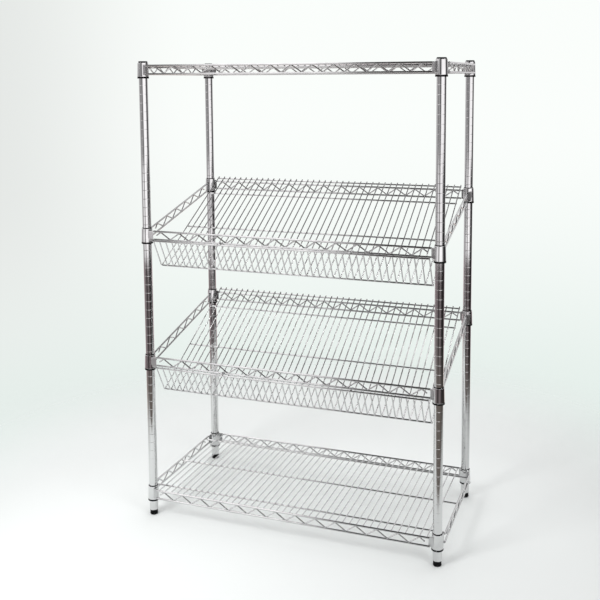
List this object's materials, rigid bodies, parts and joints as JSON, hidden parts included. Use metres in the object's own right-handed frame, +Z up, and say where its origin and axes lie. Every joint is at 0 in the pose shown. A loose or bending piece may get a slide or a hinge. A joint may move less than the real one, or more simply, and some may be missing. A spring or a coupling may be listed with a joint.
{
  "type": "bakery bread rack",
  "caption": "Wire bread rack with grooved posts, flat top and bottom shelves, and sloping wire baskets with upturned front lips.",
  "frame": {"origin": "on the floor, under the middle of the four posts", "axes": "+Z up, -Y towards the front, where the baskets' lips are, +X to the right seen from the front"},
  "size_m": [0.9096, 0.4536, 1.3648],
  "materials": {
    "post_chrome": "bright plated tube",
    "collar_chrome": "bright plated casting",
    "wire_chrome": "bright plated wire",
    "stud_steel": "zinc plated",
    "sleeve_plastic": "moulded black",
    "cap_plastic": "moulded dark grey",
    "bush_plastic": "moulded black",
    "foot_plastic": "moulded black"
  },
  "bodies": {
    "frame": {"post_front_left": "post_chrome", "post_cap_front_left": "cap_plastic", "post_front_right": "post_chrome", "post_cap_front_right": "cap_plastic", "post_rear_left": "post_chrome", "post_cap_rear_left": "cap_plastic", "post_rear_right": "post_chrome", "post_cap_rear_right": "cap_plastic", "foot_bushes": "bush_plastic", "top_shelf_sleeves_left": "sleeve_plastic", "top_shelf_sleeves_right": "sleeve_plastic", "top_shelf_collars": "collar_chrome", "top_shelf_front_truss": "wire_chrome", "top_shelf_rear_truss": "wire_chrome", "top_shelf_left_truss": "wire_chrome", "top_shelf_right_truss": "wire_chrome", "top_shelf_wires": "wire_chrome", "top_shelf_rods": "wire_chrome", "bottom_shelf_sleeves_left": "sleeve_plastic", "bottom_shelf_sleeves_right": "sleeve_plastic", "bottom_shelf_collars": "collar_chrome", "bottom_shelf_front_truss": "wire_chrome", "bottom_shelf_rear_truss": "wire_chrome", "bottom_shelf_left_truss": "wire_chrome", "bottom_shelf_right_truss": "wire_chrome", "bottom_shelf_wires": "wire_chrome", "bottom_shelf_rods": "wire_chrome", "upper_basket_sleeves_left": "sleeve_plastic", "upper_basket_sleeves_right": "sleeve_plastic", "lower_basket_sleeves_left": "sleeve_plastic", "lower_basket_sleeves_right": "sleeve_plastic"},
    "upper_basket": {"upper_basket_collars": "collar_chrome", "upper_basket_front_truss": "wire_chrome", "upper_basket_rear_truss": "wire_chrome", "upper_basket_left_truss": "wire_chrome", "upper_basket_right_truss": "wire_chrome", "upper_basket_floor_wires": "wire_chrome", "upper_basket_lip_wires": "wire_chrome", "upper_basket_rods": "wire_chrome", "upper_basket_lip_rod": "wire_chrome", "upper_basket_clips": "wire_chrome"},
    "lower_basket": {"lower_basket_collars": "collar_chrome", "lower_basket_front_truss": "wire_chrome", "lower_basket_rear_truss": "wire_chrome", "lower_basket_left_truss": "wire_chrome", "lower_basket_right_truss": "wire_chrome", "lower_basket_floor_wires": "wire_chrome", "lower_basket_lip_wires": "wire_chrome", "lower_basket_rods": "wire_chrome", "lower_basket_lip_rod": "wire_chrome", "lower_basket_clips": "wire_chrome"},
    "foot_front_left": {"foot_front_left": "foot_plastic", "foot_stud_front_left": "stud_steel"},
    "foot_front_right": {"foot_front_right": "foot_plastic", "foot_stud_front_right": "stud_steel"},
    "foot_rear_left": {"foot_rear_left": "foot_plastic", "foot_stud_rear_left": "stud_steel"},
    "foot_rear_right": {"foot_rear_right": "foot_plastic", "foot_stud_rear_right": "stud_steel"}
  },
  "joints": [
    {"name": "upper_basket_lift", "type": "slide", "parent": "frame", "child": "upper_basket", "axis": [0, 0, 1], "range_m": [0, 0.3048]},
    {"name": "lower_basket_lift", "type": "slide", "parent": "frame", "child": "lower_basket", "axis": [0, 0, 1], "range_m": [0, 0.3048]},
    {"name": "foot_front_left_screw", "type": "slide", "parent": "frame", "child": "foot_front_left", "axis": [0, 0, -1], "range_m": [0, 0.01]},
    {"name": "foot_front_right_screw", "type": "slide", "parent": "frame", "child": "foot_front_right", "axis": [0, 0, -1], "range_m": [0, 0.01]},
    {"name": "foot_rear_left_screw", "type": "slide", "parent": "frame", "child": "foot_rear_left", "axis": [0, 0, -1], "range_m": [0, 0.01]},
    {"name": "foot_rear_right_screw", "type": "slide", "parent": "frame", "child": "foot_rear_right", "axis": [0, 0, -1], "range_m": [0, 0.01]}
  ]
}
